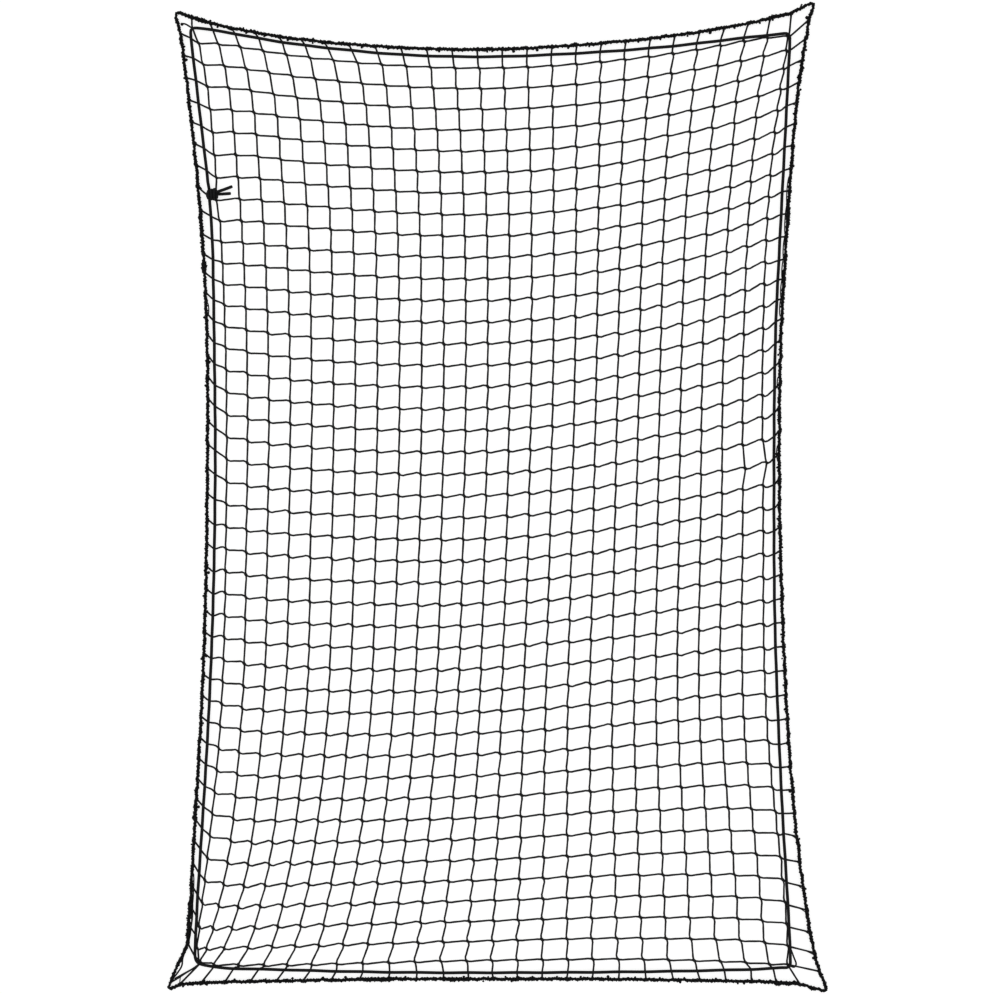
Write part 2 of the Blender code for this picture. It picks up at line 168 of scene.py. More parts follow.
# Where the binding's ends are knotted, by side and strand: inside, outside and the large ones inside.
NUBS: dict[Side, tuple[tuple[float, ...], ...]] = {
    Side.TOP: (
        (1.4, 2.65, 3.4, 5.5, 7.5, 8.5, 10.5, 12.4, 12.6, 15.65, 16.5, 18.5, 19.4, 20.5, 22.4, 23.5, 24.1),
        (1.0, 2.5, 5.5),
        (4.4, 13.45, 14.4, 21.4),
    ),
    Side.RIGHT: (
        (2.8, 4.55, 15.7, 20.5, 22.65, 22.95, 24.3, 27.5, 28.5, 29.6, 30.6, 35.8),
        (1.55, 2.35, 3.35, 6.9, 23.85, 25.9, 36.1, 38.1, 42.2),
        (-0.1, 15.1, 19.95, 34.05, 41.25),
    ),
    Side.BOTTOM: (
        (24.75, 21.6, 20.4, 19.5, 18.6, 16.55, 15.6, 14.6, 13.5, 12.8, 9.6, 4.6, 3.4, 2.15),
        (22.7, 22.45, 20.25, 13.75, 12.6, 2.25, 1.15),
        (17.6, 11.8, 7.5, 6.7, 5.6),
    ),
    Side.LEFT: (
        (31.3, 26.0, 15.3, 7.05, 5.0, 0.6),
        (41.6, 40.7, 37.2, 35.95, 28.25, 25.3, 16.4, 13.2, 9.4, 3.1, 2.0),
        (35.4, 28.1, 24.25, 1.2, -0.4),
    ),
}

# Where a turn of the binding runs loose beside the rope: from one strand to another.
BIGHTS: dict[Side, tuple[tuple[float, float], ...]] = {
    Side.RIGHT: (
        (7.4, 8.6), (8.6, 9.9), (10.0, 11.0), (11.0, 12.0), (12.0, 13.0), (13.0, 13.9), (16.7, 17.2),
        (19.6, 20.2),
    ),
    Side.LEFT: ((12.5, 13.1), (38.5, 40.5), (40.2, 41.8)),
}

# Loose bights and ends of twine beside the rope, by the points that each one lies along.
STRAYS: dict[str, tuple[Plan, ...]] = {
    "top left end": ((-652, 976), (-643, 975), (-634, 970), (-628, 966)),
    "top right twig": ((623, 1006), (625, 1012), (627, 1016)),
    "bottom left bight": ((-640, -926), (-648, -948), (-650, -964), (-659, -979), (-668, -990)),
    "bottom left slack": ((-630, -800), (-628, -839), (-629, -870), (-634, -901), (-636, -922)),
    "bottom right bight": ((604, -930), (610, -946), (615, -960), (611, -967), (603, -965)),
    "bottom left return": ((-620, -966), (-640, -978), (-655, -988), (-668, -996)),
}

# How far the strands wave between two joints, in millimetres: for crosswise and for lengthwise strands,
# each at three lengthwise strands, by the crosswise strand that they are near.
WAVE_COLUMNS = (4, 13, 22)
WAVES: dict[int, tuple[tuple[float, ...], tuple[float, ...]]] = {
    0: ((1.3, 0.8, 1.4), (1.0, 1.3, 1.6)),
    5: ((1.5, 1.6, 2.1), (0.8, 1.2, 1.3)),
    12: ((2.4, 2.4, 2.9), (0.8, 1.0, 0.8)),
    20: ((2.9, 2.6, 2.9), (0.7, 0.9, 0.7)),
    28: ((3.2, 2.8, 2.9), (0.8, 1.1, 0.7)),
    35: ((3.1, 2.1, 2.1), (0.8, 1.5, 1.1)),
    40: ((3.8, 1.4, 1.5), (1.1, 2.2, 1.6)),
    42: ((2.1, 1.1, 1.2), (1.2, 2.5, 1.7)),
}

# How far single strands are shifted towards +Y where they cross the elastic, in millimetres.
SHIFTS: dict[Side, dict[int, float]] = {
    Side.LEFT: {1: 4.0, 2: 2.5, 3: 1.0, 7: -6.0},
    Side.RIGHT: {
        1: -2.0, 2: 2.5, 4: 2.5, 6: 2.0, 8: 2.0, 9: 2.0, 10: 2.0, 12: 2.0, 13: 1.5, 20: 6.0, 35: -3.0,
        36: 2.5, 37: -2.0,
    },
}

# The way in which the strands of each side wave beside their outermost joint, in the plan.
MARGIN_WAVES = {Side.TOP: (-1, 0), Side.RIGHT: (0, -1.7), Side.BOTTOM: (1, 0), Side.LEFT: (0, 1)}


# ---------------- curves through the tables
def bend(start: Vector, leave: Vector, end: Vector, arrive: Vector, t: float) -> Vector:
    """Find a place on the curve between two places.

    Args:
        start, leave: where the curve starts, and its pull there.
        end, arrive: the same for its end.
        t: share of the way.

    Returns:
        The place.
    """
    return (
        start * (2 * t**3 - 3 * t**2 + 1)
        + leave * (t**3 - 2 * t**2 + t)
        + end * (3 * t**2 - 2 * t**3)
        + arrive * (t**3 - t**2)
    )


def smooth(knots: Sequence[float], points: Sequence[Vector], at: float) -> Vector:
    """Find the point at a place along a smooth curve.

    Args:
        knots: rising numbers, one for each point.
        points: the points that the curve passes through.
        at: the number of the wanted place.

    Returns:
        The point on the curve.
    """
    last = len(knots) - 1
    i = next((k for k in range(last) if at <= knots[k + 1]), last - 1)
    runs = [knots[k + 1] - knots[k] for k in range(last)]
    slopes = [(points[k + 1] - points[k]) / runs[k] for k in range(last)]

    def tangent(k: int) -> Vector:
        """Find the curve's slope at one of its points.

        Args:
            k: the point's number.

        Returns:
            The slope.
        """
        if k in (0, last):
            return slopes[min(k, last - 1)]
        return (slopes[k - 1] * runs[k] + slopes[k] * runs[k - 1]) / (runs[k - 1] + runs[k])

    t = (at - knots[i]) / runs[i]
    return bend(points[i], tangent(i) * runs[i], points[i + 1], tangent(i + 1) * runs[i], t)


def through(points: Sequence[Vector], per_point: int = 4) -> Line:
    """Draw a smooth line through points, with a few steps from each to the next."""
    steps = [k / per_point for k in range(per_point * (len(points) - 1) + 1)]
    return [smooth(range(len(points)), points, at) for at in steps]


def ease(t: float) -> float:
    """Rise gently from 0 to 1."""
    return 3 * t**2 - 2 * t**3


def place(pair: Plan) -> Vector:
    """Turn a place in millimetres into a point of the plan, in metres."""
    return Vector(pair) * MM


def crosswise(direction: Vector) -> Vector:
    """Turn a direction of the plan a quarter turn to the left."""
    return Vector((-direction.y, direction.x))


def carried(line: Line) -> Line:
    """Carry a direction across a line along it, so that it doesn't spin.

    Args:
        line: the line's points.

    Returns:
        The direction at each point.
    """
    across = UP
    directions = []
    for k in range(len(line)):
        run = (line[min(k + 1, len(line) - 1)] - line[max(k - 1, 0)]).normalized()
        across = (across - run * across.dot(run)).normalized()
        directions.append(across)
    return directions


def metres_along(line: np.ndarray) -> np.ndarray:
    """Measure how far along a line each of its points lies."""
    return np.concatenate([[0.0], np.cumsum(np.linalg.norm(np.diff(line, axis=0), axis=1))])


def evenly(points: Line, step: float, closed: bool = False) -> Line:
    """Space points evenly along a line.

    Args:
        points: the line's points.
        step: wanted distance between the new points.
        closed: whether the line's end joins its start.

    Returns:
        The new points, from the first one on.
    """
    line = np.array([tuple(p) for p in points + points[:1] * closed])
    along = metres_along(line)
    wanted = np.linspace(0.0, along[-1], max(2, round(along[-1] / step)) + 1)
    columns = [np.interp(wanted[: -1 if closed else None], along, column) for column in line.T]
    return [Vector(p) for p in zip(*columns)]


@dataclass
class Lie:
    """The plan of the net as it lies: its joints, the rope's line and the elastic's line."""

    lengthwise: int = 26
    across: int = 43
    rope_turn: float = 16.0 * MM
    rope_points: int = 3
    cord_turn: float = 10.0 * MM
    cord_points: int = 6
    turn_points: int = 5
    turn_spare: float = 1.4
    knot_strand: int = 7
    cord_step: float = 2.0 * MM
    clear_of_cord: float = 4.3 * MM
    near_cord: float = 3.0
    joints: dict[tuple[int, int], Vector] = field(default_factory=dict)

    def trace(self) -> None:
        """Work out every joint, and set the outermost ones clear of the elastic."""
        for c in range(self.lengthwise):
            crossings = [smooth(MESH_COLUMNS, [place(p) for p in row], c) for row in MESH_ROWS.values()]
            for r in range(self.across):
                self.joints[c, r] = smooth(list(MESH_ROWS), crossings, r)
        cord = [p.to_2d() for p in evenly(self.cord_line(), self.cord_step)]
        for c, r in self.joints:
            if c in (0, self.lengthwise - 1) or r in (0, self.across - 1):
                self.joints[c, r] = self.beside(self.joints[c, r], cord)
        self.joints.update({key: place(at) for key, at in PULLED.items()})

    def beside(self, point: Vector, cord: Line) -> Vector:
        """Move a point of the plan inwards, no further than it takes to be clear of the elastic.

        Args:
            point: the point.
            cord: the elastic's points.

        Returns:
            The point, moved or as it was.
        """
        k = min(range(1, len(cord) - 1), key=lambda i: (cord[i] - point).length_squared)
        inwards = crosswise(cord[k + 1] - cord[k - 1]).normalized()
        inwards *= copysign(1.0, -inwards.dot(cord[k]))
        gap = (point - cord[k]).dot(inwards)
        near = (point - cord[k]).length < self.near_cord * self.clear_of_cord
        return point + inwards * (self.clear_of_cord - gap) if near and gap < self.clear_of_cord else point

    def edge(self, side: Side, cord: Cord, strand: float) -> Vector:
        """Find where a strand meets the rope or the elastic.

        Args:
            side: the side of the net.
            cord: the rope or the elastic.
            strand: the strand's number; one between two strands gives a place between them.

        Returns:
            The point of the plan.
        """
        rows = EDGES[side]
        if side is Side.BOTTOM and strand < min(rows):
            return place(CORNER_END[cord.value])
        return smooth(list(rows), [place(row[cord.value]) for row in rows.values()], strand)

    def side_line(self, side: Side, cord: Cord, per_strand: int) -> list[tuple[float, Vector]]:
        """List points along one side of a cord, clockwise round the net.

        Args:
            side: the side of the net.
            cord: the rope or the elastic.
            per_strand: points from one strand to the next.

        Returns:
            The points, each with its strand number.
        """
        first, last = min(EDGES[side]), max(EDGES[side])
        numbers = [first + k / per_strand for k in range((last - first) * per_strand + 1)]
        points = [(n, self.edge(side, cord, n)) for n in numbers]
        return points[::-1] if side in (Side.BOTTOM, Side.LEFT) else points

    def turn(self, before: Vector, corner: Vector, after: Vector, reach: float) -> Line:
        """Round a corner off.

        Args:
            before, after: the points beside the corner.
            corner: the corner.
            reach: how far from it the turn starts.

        Returns:
            The points of the turn.
        """
        start = corner + (before - corner).normalized() * reach
        end = corner + (after - corner).normalized() * reach
        steps = [k / (self.turn_points - 1) for k in range(self.turn_points)]
        return [start * (1 - t) ** 2 + corner * 2 * t * (1 - t) + end * t**2 for t in steps]

    def rope_line(self) -> Line:
        """List points of the edge rope's line all round.

        Returns:
            The points, clockwise from the top left corner.
        """
        sides = [[p for _, p in self.side_line(side, Cord.ROPE, self.rope_points)] for side in Side]
        loop: Line = []
        for k, side in enumerate(sides):
            loop += self.turn(sides[k - 1][-1], place(CORNERS[k][0]), side[0], self.rope_turn) + side
        return loop

    def cord_line(self, low: float = 0.0, rise: float = 0.0) -> Line:
        """List points of the elastic's line, clockwise from above its knot to below it.

        Args:
            low: height of its middle where it passes under a strand, at the even ones.
            rise: how much higher it is where it passes over a strand, at the odd ones.

        Returns:
            The points, with the heights.
        """
        sides = []
        for side in Side:
            plan = self.side_line(side, Cord.ELASTIC, self.cord_points)
            sides.append([p.to_3d() + UP * (low + rise * sin(pi * n / 2) ** 2) for n, p in plan])
        left = sides.pop()
        split = len(left) - 1 - self.knot_strand * self.cord_points
        route = left[split + self.cord_points // 2 :]
        for corner, side in zip(CORNERS, sides + [left[: split - self.cord_points // 2 + 1]]):
            crook = place(corner[1]).to_3d() + UP * (low + rise / 2)
            clear = self.cord_turn * self.turn_spare
            route = [p for p in route if (p - crook).to_2d().length > clear]
            side = [p for p in side if (p - crook).to_2d().length > clear]
            route = route + self.turn(route[-1], crook, side[0], self.cord_turn) + side
        return route


# ---------------- swept cords
def put(name: str, data: bpy.types.ID) -> Object:
    """Put new data into the scene.

    Args:
        name: the object's name.
        data: its mesh, lamp or camera.

    Returns:
        The object.
    """
    piece = bpy.data.objects.new(name, data)
    bpy.context.scene.collection.objects.link(piece)
    return piece


@dataclass
class Sweep:
    """Gathers round cords, swept along lines, into one mesh.

    Every cord is mapped by its turns round and its metres along, so that a finish can follow its lay.
    """

    sides: int = 6
    corners: list[np.ndarray] = field(default_factory=list)
    faces: list[tuple[int, ...]] = field(default_factory=list)
    lay: list[Plan] = field(default_factory=list)
    count: int = 0

    def add(
        self,
        line: Line,
        radii: float | Sequence[float],
        closed: bool = False,
        outwards: Line | None = None,
        oval: float = 0.0,
        oval_turn: float = 0.0,
    ) -> None:
        """Add one cord.

        Args:
            line: points along its middle.
            radii: its radius, or its radius at each point.
            closed: whether its end joins its start.
            outwards: a direction across the cord at each point, or None for straight up.
            oval: share by which its section is drawn out into an oval.
            oval_turn: how far the oval turns from end to end, in radians.
        """
        middle = np.array([tuple(p) for p in line])
        n, m = len(middle), self.sides
        radius = np.broadcast_to(np.asarray(radii, dtype=float), (n,))
        if closed:
            run = np.roll(middle, -1, axis=0) - np.roll(middle, 1, axis=0)
        else:
            run = np.gradient(middle, axis=0)
        run /= np.linalg.norm(run, axis=1, keepdims=True)
        up = np.array([tuple(p) for p in outwards or [UP] * n])
        across = np.cross(up, run)
        across /= np.linalg.norm(across, axis=1, keepdims=True)
        top = np.cross(run, across)
        angle = np.arange(m) * 2 * pi / m
        twist = np.linspace(-0.5, 0.5, n) * oval_turn
        reach = radius[:, None] * (1 + oval * np.cos(2 * (angle[None, :] - twist[:, None])))
        ring = (
            middle[:, None, :]
            + across[:, None, :] * (np.cos(angle) * reach)[:, :, None]
            + top[:, None, :] * (np.sin(angle) * reach)[:, :, None]
        )
        along = metres_along(middle)
        end = along[-1] + np.linalg.norm(middle[0] - middle[-1])
        base = self.count
        self.corners.append(ring.reshape(-1, 3))
        self.count += n * m
        for i in range(n if closed else n - 1):
            k = (i + 1) % n
            here, there = along[i], (along[i + 1] if i + 1 < n else end)
            for j in range(m):
                q = (j + 1) % m
                self.faces.append((base + i * m + j, base + i * m + q, base + k * m + q, base + k * m + j))
                a, b = j / m, (j + 1) / m
                self.lay += [(a, here), (b, here), (b, there), (a, there)]
        if not closed:
            self.faces.append(tuple(base + j for j in reversed(range(m))))
            self.faces.append(tuple(base + (n - 1) * m + j for j in range(m)))
            self.lay += [(0.5, 0.0)] * m + [(0.5, end)] * m

    def build(self, name: str, finish: Material) -> Object:
        """Make the gathered cords into one piece.

        Args:
            name: the piece's name.
            finish: its finish.

        Returns:
            The piece.
        """
        mesh = bpy.data.meshes.new(name)
        mesh.from_pydata(np.vstack(self.corners).tolist(), [], self.faces)
        mapped = mesh.uv_layers.new(name="lay")
        mapped.data.foreach_set("uv", np.array(self.lay, dtype=np.float32).ravel())
        mesh.polygons.foreach_set("use_smooth", np.ones(len(mesh.polygons), dtype=bool))
        mesh.materials.append(finish)
        mesh.validate()
        return put(name, mesh)


# ---------------- finishes
@dataclass
class NodeSheet:
    """Places and joins shader nodes in one tree."""

    tree: NodeTree

    def feed(self, node: Node, values: dict[str | int, object]) -> Node:
        """Fill a node's inputs.

        Args:
            node: the node.
            values: sockets to join and plain values to set, by the input's name or number.

        Returns:
            The node.
        """
        for key, value in values.items():
            if isinstance(value, NodeSocket):
                self.tree.links.new(value, node.inputs[key])
            else:
                node.inputs[key].default_value = value
        return node

    def node(self, kind: str, values: dict[str | int, object] | None = None, **settings: object) -> Node:
        """Add a node.

        Args:
            kind: its kind.
            values: what fills its inputs.
            settings: its properties.

        Returns:
            The node.
        """
        made = self.tree.nodes.new(kind)
        for name, value in settings.items():
            setattr(made, name, value)
        return self.feed(made, values or {})

    def calculate(self, operation: str, *values: NodeSocket | float) -> NodeSocket:
        """Add a calculation with sockets and numbers, and give its result."""
        made = self.node("ShaderNodeMath", operation=operation)
        return self.feed(made, dict(enumerate(values))).outputs[0]


def new_group(name: str, takes: dict[str, str | float], gives: dict[str, str]) -> tuple[NodeSheet, object]:
    """Start a shader node group with named sockets.

    Args:
        name: the group's name.
        takes: its inputs, each with its kind, or with its first value if it is a number.
        gives: its outputs, each with its kind.

    Returns:
        The group's sheet and the sockets that bring its inputs.
    """
    tree = bpy.data.node_groups.new(name, "ShaderNodeTree")
    for label, first in takes.items():
        kind = first if isinstance(first, str) else "Float"
        socket = tree.interface.new_socket(name=label, in_out="INPUT", socket_type=f"NodeSocket{kind}")
        if first is not kind:
            socket.default_value = first
    for label, kind in gives.items():
        tree.interface.new_socket(name=label, in_out="OUTPUT", socket_type=f"NodeSocket{kind}")
    sheet = NodeSheet(tree)
    return sheet, sheet.node("NodeGroupInput").outputs


def yarn_lay_group() -> NodeTree:
    """Build the relief of a cord's yarns, twisted or braided, from its map.

    Returns:
        The group: it takes the map, the number of yarns round, the metres of one turn of the lay and the
        share of braiding, and gives the yarns' height and the dark grooves between them.
    """
    above_zero, fullness, narrowing, softness = 1000.0, 0.6, 1.6, 0.1
    sheet, takes = new_group(
        "yarn_lay",
        {"Map": "Vector", "Yarns": 3.0, "Lay": 0.01, "Braiding": 0.0},
        {"Height": "Float", "Grooves": "Float"},
    )
    calculate = sheet.calculate
    where = sheet.node("ShaderNodeSeparateXYZ", {0: takes["Map"]}).outputs
    round_it = calculate("MULTIPLY", where["X"], takes["Yarns"])
    along = calculate("MULTIPLY", calculate("DIVIDE", where["Y"], takes["Lay"]), takes["Yarns"])
    rising, falling = calculate("ADD", round_it, along), calculate("SUBTRACT", round_it, along)
    waves = [calculate("SINE", calculate("MULTIPLY", slope, pi)) for slope in (rising, falling)]
    ridge_up, ridge_down = (calculate("ABSOLUTE", wave) for wave in waves)
    cells = calculate("ADD", calculate("FLOOR", rising), calculate("FLOOR", falling))
    on_top = calculate("MODULO", calculate("ADD", cells, above_zero), 2.0)
    over = calculate("MULTIPLY", ridge_up, on_top)
    under = calculate("MULTIPLY", ridge_down, calculate("SUBTRACT", 1.0, on_top))
    mixed = {"Factor": takes["Braiding"], "A": ridge_up, "B": calculate("ADD", over, under)}
    ridges = sheet.node("ShaderNodeMix", mixed, data_type="FLOAT").outputs["Result"]
    height = calculate("POWER", ridges, fullness)
    tops = calculate("SMOOTH_MIN", calculate("MULTIPLY", height, narrowing), 1.0, softness)
    grooves = calculate("SUBTRACT", 1.0, tops)
    sheet.node("NodeGroupOutput", {"Height": height, "Grooves": grooves})
    return sheet.tree


def wear_group() -> NodeTree:
    """Build the uneven black of used cord: faded runs, dusty tops and fine fibres.

    Returns:
        The group: it takes two colours, the size of the faded runs, the strength of the dust, the
        grooves and the least roughness, and gives the colour, the roughness and the fibres' height.
    """
    speck_floor, speck_gain, run_floor, run_gain = 0.42, 3.0, 0.35, 1.8
    run_detail, fibre_scale, fibre_detail, groove_cover, dust_roughness = 3.0, 2600.0, 2.0, 0.8, 0.2
    sheet, takes = new_group(
        "cord_wear",
        {"Fresh": "Color", "Faded": "Color", "Run": 20.0, "Dust": 0.2, "Grooves": 0.0, "Smoothest": 0.6},
        {"Colour": "Color", "Roughness": "Float", "Fibres": "Float"},
    )
    calculate = sheet.calculate
    where = sheet.node("ShaderNodeTexCoord").outputs["Object"]
    long_runs = {"Vector": where, "Scale": takes["Run"], "Detail": run_detail}
    runs = sheet.node("ShaderNodeTexNoise", long_runs, noise_dimensions="3D").outputs["Fac"]
    fine = {"Vector": where, "Scale": fibre_scale, "Detail": fibre_detail}
    fibres = sheet.node("ShaderNodeTexNoise", fine, noise_dimensions="3D").outputs["Fac"]
    facing = sheet.node("ShaderNodeSeparateXYZ", {0: sheet.node("ShaderNodeNewGeometry").outputs["Normal"]})
    top = calculate("MAXIMUM", facing.outputs["Z"], 0.0)
    specks = calculate("MULTIPLY", calculate("SUBTRACT", fibres, speck_floor), speck_gain)
    dusty = calculate("MULTIPLY", calculate("MULTIPLY", top, specks), takes["Dust"])
    spread = calculate("MULTIPLY", calculate("SUBTRACT", runs, run_floor), run_gain)
    kept = calculate("SUBTRACT", 1.0, calculate("MULTIPLY", takes["Grooves"], groove_cover))
    faded = calculate("MULTIPLY", calculate("ADD", spread, dusty), kept)
    share = sheet.node("ShaderNodeClamp", {"Value": faded}).outputs[0]
    mixed = {"Factor": share, "A": takes["Fresh"], "B": takes["Faded"]}
    tint = sheet.node("ShaderNodeMix", mixed, data_type="RGBA").outputs["Result"]
    rough = calculate("ADD", takes["Smoothest"], calculate("MULTIPLY", share, dust_roughness))
    sheet.node("NodeGroupOutput", {"Colour": tint, "Roughness": rough, "Fibres": fibres})
    return sheet.tree


@dataclass(frozen=True)
class CordFinish:
    """The finish of one kind of cord."""

    name: str
    fresh: tuple[float, float, float]
    faded: tuple[float, float, float]
    plait: Plait
    yarns: float
    lay: float
    relief: float
    smoothest: float
    shine: float
    sheen: float
    sheen_spread: float = 0.5
    dust: float = 0.2
    fade_run: float = 14.0
    fuzz: float = 0.12

    def material(self, yarn_lay: NodeTree, wear: NodeTree) -> Material:
        """Make the material.

        Args:
            yarn_lay: the group that draws the yarns.
            wear: the group that draws the wear.

        Returns:
            The material.
        """
        made = bpy.data.materials.new(self.name)
        made.use_nodes = True
        sheet = NodeSheet(made.node_tree)
        lie = {"Map": sheet.node("ShaderNodeUVMap", uv_map="lay").outputs[0], "Braiding": self.plait.value}
        lie |= {"Yarns": self.yarns, "Lay": self.lay}
        yarns = sheet.node("ShaderNodeGroup", lie, node_tree=yarn_lay).outputs
        use = {"Fresh": (*self.fresh, 1.0), "Faded": (*self.faded, 1.0), "Run": self.fade_run}
        use |= {"Dust": self.dust, "Smoothest": self.smoothest, "Grooves": yarns["Grooves"]}
        worn = sheet.node("ShaderNodeGroup", use, node_tree=wear).outputs
        fuzzy = sheet.calculate("MULTIPLY_ADD", worn["Fibres"], self.fuzz, yarns["Height"])
        relief = sheet.node("ShaderNodeBump", {"Strength": 1.0, "Distance": self.relief, "Height": fuzzy})
        surface = {
            "Base Color": worn["Colour"],
            "Roughness": worn["Roughness"],
            "Normal": relief.outputs["Normal"],
            "Metallic": 0.0,
            "Specular IOR Level": self.shine,
            "Sheen Weight": self.sheen,
            "Sheen Roughness": self.sheen_spread,
        }
        sheet.feed(made.node_tree.nodes["Principled BSDF"], surface)
        return made


NETTING_TWINE = CordFinish(
    "netting_twine_finish", (0.012, 0.012, 0.013), (0.034, 0.034, 0.036), Plait.BRAIDED,
    yarns=4.0, lay=0.016, relief=0.0005, smoothest=0.58, shine=0.40, sheen=0.05,
)
BINDING_TWINE = CordFinish(
    "binding_twine_finish", (0.009, 0.009, 0.010), (0.026, 0.026, 0.028), Plait.TWISTED,
    yarns=3.0, lay=0.009, relief=0.0004, smoothest=0.62, shine=0.34, sheen=0.04,
)
ROPE_STRAND = CordFinish(
    "rope_strand_finish", (0.008, 0.008, 0.009), (0.024, 0.024, 0.026), Plait.TWISTED,
    yarns=5.0, lay=0.014, relief=0.0005, smoothest=0.64, shine=0.32, sheen=0.04,
)
ELASTIC_SLEEVE = CordFinish(
    "elastic_sleeve_finish", (0.010, 0.010, 0.011), (0.024, 0.024, 0.026), Plait.BRAIDED,
    yarns=8.0, lay=0.030, relief=0.0003, smoothest=0.5, shine=0.34, sheen=0.04,
)


# ---------------- the netting
@dataclass
class Netting:
    """The square mesh: every strand in its own lie, from rope to rope."""

    lie: Lie
    rope_middle: float
    twine: float = 3.4 * MM
    rest: float = 1.9 * MM
    steps: tuple[float, ...] = (0.0, 0.09, 0.2, 0.36, 0.64, 0.8, 0.91)
    margin_steps: tuple[float, ...] = (0.0, 0.2, 0.4, 0.6, 0.8)
    # How strongly a strand keeps its direction at the rope, at the elastic and at its outermost joint,
    # and how much its waves differ, for crosswise and for lengthwise strands.
    pulls: tuple[float, float, float] = (0.5, 0.4, 0.6)
    wave_spreads: Pair = ((0.75, 1.25), (0.6, 1.4))
    joint_rise: float = 0.9 * MM
    over_cord: float = 6.7 * MM
    flat_mesh: float = 45.0 * MM
    flare: float = 0.35
    flare_reach: float = 4.0 * MM
    wave_room: float = 20.0 * MM
    second_wave: float = 0.35
    wave_peak: float = 1.17
    uneven: float = 0.06
    uneven_most: float = 1.5
    seed: int = 7

    def wave(self, way: Way, c: float, r: float) -> float:
        """Find how high a strand's waves are.

        Args:
            way: the way it runs.
            c, r: the place in the mesh, by lengthwise and crosswise strand.

        Returns:
            The height, in metres.
        """
        columns = zip(*(row[way.value] for row in WAVES.values()))
        at_row = [np.interp(r, list(WAVES), column) for column in columns]
        return float(np.interp(c, WAVE_COLUMNS, at_row)) * MM

    def span(self, start: Vector, end: Vector, size: float, rise: float) -> Line:
        """List points along a strand between two joints, without the last one.

        It dips after one joint and humps before the next.

        Args:
            start: the first joint.
            end: the next joint.
            size: height of the waves, to the left of the run where it is over 0.
            rise: extra height of the strand at both joints.

        Returns:
            The points.
        """
        run = end - start
        left = crosswise(run.normalized())
        points = []
        for t in self.steps:
            snake = -(sin(2 * pi * t) + self.second_wave * sin(4 * pi * t)) / self.wave_peak
            plan = start + run * t + left * size * snake
            points.append(plan.to_3d() + UP * (self.rest + rise * cos(pi * t) ** 4))
        return points

    def margin(self, side: Side, strand: int, joint: Vector, inner: Vector, size: float, rise: float) -> Line:
        """List points along a strand from the rope to its outermost joint, without the joint.

        Args:
            side: the side of the net.
            strand: the strand's number.
            joint, inner: its outermost joint there, and the next one.
            size: height of its wave.
            rise: its extra height at the joint.

        Returns:
            The points, from the rope's middle inwards.
        """
        rope, cord = (self.lie.edge(side, line, strand) for line in Cord)
        leave, cross, arrive = self.pulls
        through = joint - rope
        at_cord = self.rest if strand % 2 else self.over_cord
        shift = Vector((0.0, SHIFTS.get(side, {}).get(strand, 0.0))) * MM
        room = min(1.0, (joint - cord).length / self.wave_room)
        wave = Vector(MARGIN_WAVES[side]) * size * room
        points = []
        for t in self.margin_steps:
            plan = bend(rope, through * leave, cord, through * cross, t) + shift * sin(pi * t / 2)
            points.append(plan.to_3d() + UP * (self.rope_middle + (at_cord - self.rope_middle) * ease(t)))
        for t in self.margin_steps:
            plan = bend(cord, through * cross, joint, (inner - joint) * arrive, t)
            plan += shift * cos(pi * t / 2) + wave * sin(pi * t**2)
            points.append(plan.to_3d() + UP * (at_cord * (1 - ease(t)) + (self.rest + rise) * ease(t)))
        return points

    def strand(self, way: Way, number: int, chance: Chance) -> Line:
        """List the points of one strand, from left to right or from top to bottom.

        Args:
            way: the way it runs.
            number: its number.
            chance: what draws the heights of its waves.

        Returns:
            The points.
        """
        cross = way is Way.CROSSWISE
        count = self.lie.lengthwise if cross else self.lie.across
        first, last = (Side.LEFT, Side.RIGHT) if cross else (Side.TOP, Side.BOTTOM)
        rise, left = (self.joint_rise, 1.0) if cross else (0.0, -1.0)
        spots = [(k, number) if cross else (number, k) for k in range(count)]
        joints = [self.lie.joints[spot] for spot in spots]
        line = self.margin(first, number, joints[0], joints[1], self.wave(way, *spots[0]), rise)
        for k, (start, end) in enumerate(zip(joints, joints[1:])):
            between = (k + 0.5, number) if cross else (number, k + 0.5)
            size = self.wave(way, *between) * chance.uniform(*self.wave_spreads[way.value])
            line += self.span(start, end, left * size, rise)
        line.append(joints[-1].to_3d() + UP * (self.rest + rise))
        ending = self.margin(last, number, joints[-1], joints[-2], self.wave(way, *spots[-1]), rise)
        return line + ending[::-1]

    def build(self, finish: Material) -> Object:
        """Make all the strands as one piece.

        Args:
            finish: its finish.

        Returns:
            The piece.
        """
        chance = np.random.default_rng(self.seed)
        cords = Sweep()
        strands = [self.strand(Way.CROSSWISE, r, chance) for r in range(self.lie.across)]
        strands += [self.strand(Way.LENGTHWISE, c, chance) for c in range(self.lie.lengthwise)]
        for line in strands:
            uneven = chance.standard_normal(len(line)).clip(-self.uneven_most, self.uneven_most)
            from_rope = np.array([min((p - line[0]).length, (p - line[-1]).length) for p in line])
            flared = 1 + self.flare * np.exp(-((from_rope / self.flare_reach) ** 2))
            cords.add(line, self.twine / 2 * (1 + self.uneven * uneven) * flared)
        return cords.build("netting", finish)


